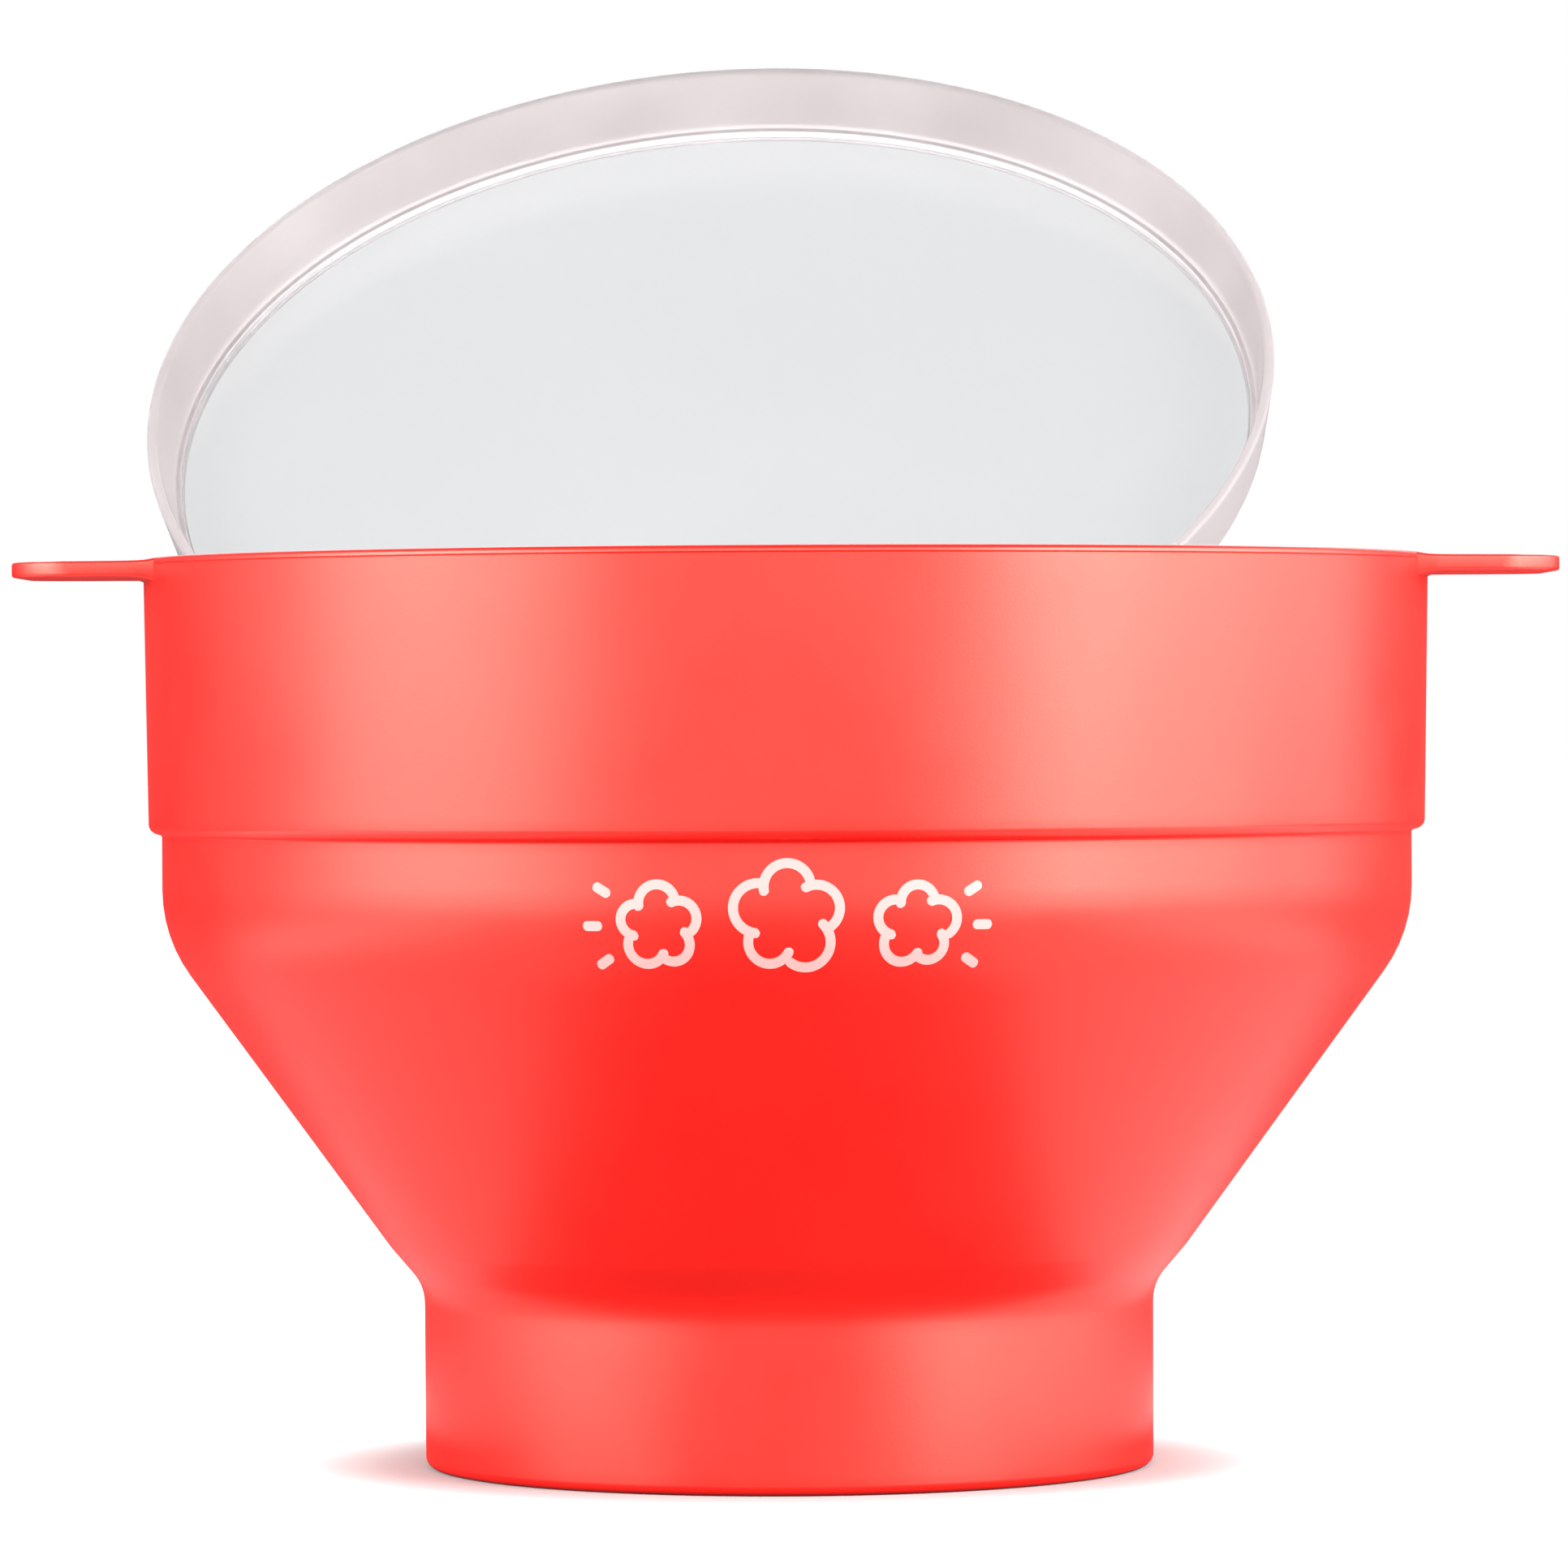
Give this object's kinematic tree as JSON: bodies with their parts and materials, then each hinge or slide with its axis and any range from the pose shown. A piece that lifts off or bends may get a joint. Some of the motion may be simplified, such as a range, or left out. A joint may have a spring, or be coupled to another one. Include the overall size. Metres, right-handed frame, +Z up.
{
  "type": "collapsible popcorn maker",
  "caption": "Soft collapsible popcorn bowl with a narrow base cup, cone-shaped folding wall, deep rim band, two flat side grips and a frosted lid leaning open behind it.",
  "frame": {"origin": "centre of the base cup's underside, on the surface that the bowl stands on", "axes": "+Z up along the bowl's axis, +X towards the right grip, +Y towards the back, where the open lid leans"},
  "size_m": [0.24, 0.3689, 0.2389],
  "materials": {
    "red_silicone": "satin moulded silicone",
    "frosted_silicone": "frosted translucent silicone",
    "clear_pane": "clear, slightly cloudy"
  },
  "bodies": {
    "base": {"base_floor": "red_silicone", "base_cup": "red_silicone"},
    "fold 1": {"fold_ring_1": "red_silicone"},
    "fold 2": {"fold_ring_2": "red_silicone"},
    "fold 3": {"fold_ring_3": "red_silicone"},
    "fold 4": {"fold_ring_4": "red_silicone"},
    "fold 5": {"fold_ring_5": "red_silicone"},
    "fold 6": {"fold_ring_6": "red_silicone"},
    "band": {"rim_band": "red_silicone", "grip_left": "red_silicone", "grip_right": "red_silicone"},
    "lid": {"lid_ring": "frosted_silicone", "lid_window": "clear_pane"}
  },
  "joints": [
    {"name": "collapse", "type": "slide", "parent": "base", "child": "band", "axis": [0, 0, -1], "range_m": [0, 0.08]},
    {"name": "fold 1 drop", "type": "slide", "parent": "base", "child": "fold 1", "axis": [0, 0, -1], "range_m": [0, 0.00266]},
    {"name": "fold 2 drop", "type": "slide", "parent": "base", "child": "fold 2", "axis": [0, 0, -1], "range_m": [0, 0.0121]},
    {"name": "fold 3 drop", "type": "slide", "parent": "base", "child": "fold 3", "axis": [0, 0, -1], "range_m": [0, 0.02674]},
    {"name": "fold 4 drop", "type": "slide", "parent": "base", "child": "fold 4", "axis": [0, 0, -1], "range_m": [0, 0.04354]},
    {"name": "fold 5 drop", "type": "slide", "parent": "base", "child": "fold 5", "axis": [0, 0, -1], "range_m": [0, 0.05994]},
    {"name": "fold 6 drop", "type": "slide", "parent": "base", "child": "fold 6", "axis": [0, 0, -1], "range_m": [0, 0.0713]},
    {"name": "lid close", "type": "hinge", "parent": "band", "child": "lid", "pos_m": [0, 0.09766, 0.12943], "axis": [0.996, 0.0615, 0.0646], "range_deg": [0, 142.8]}
  ],
  "couplings": [
    {"joint": "fold 1 drop", "follows": "collapse", "ratio": 0.027},
    {"joint": "fold 2 drop", "follows": "collapse", "ratio": 0.145},
    {"joint": "fold 3 drop", "follows": "collapse", "ratio": 0.328},
    {"joint": "fold 4 drop", "follows": "collapse", "ratio": 0.538},
    {"joint": "fold 5 drop", "follows": "collapse", "ratio": 0.743},
    {"joint": "fold 6 drop", "follows": "collapse", "ratio": 0.885}
  ]
}
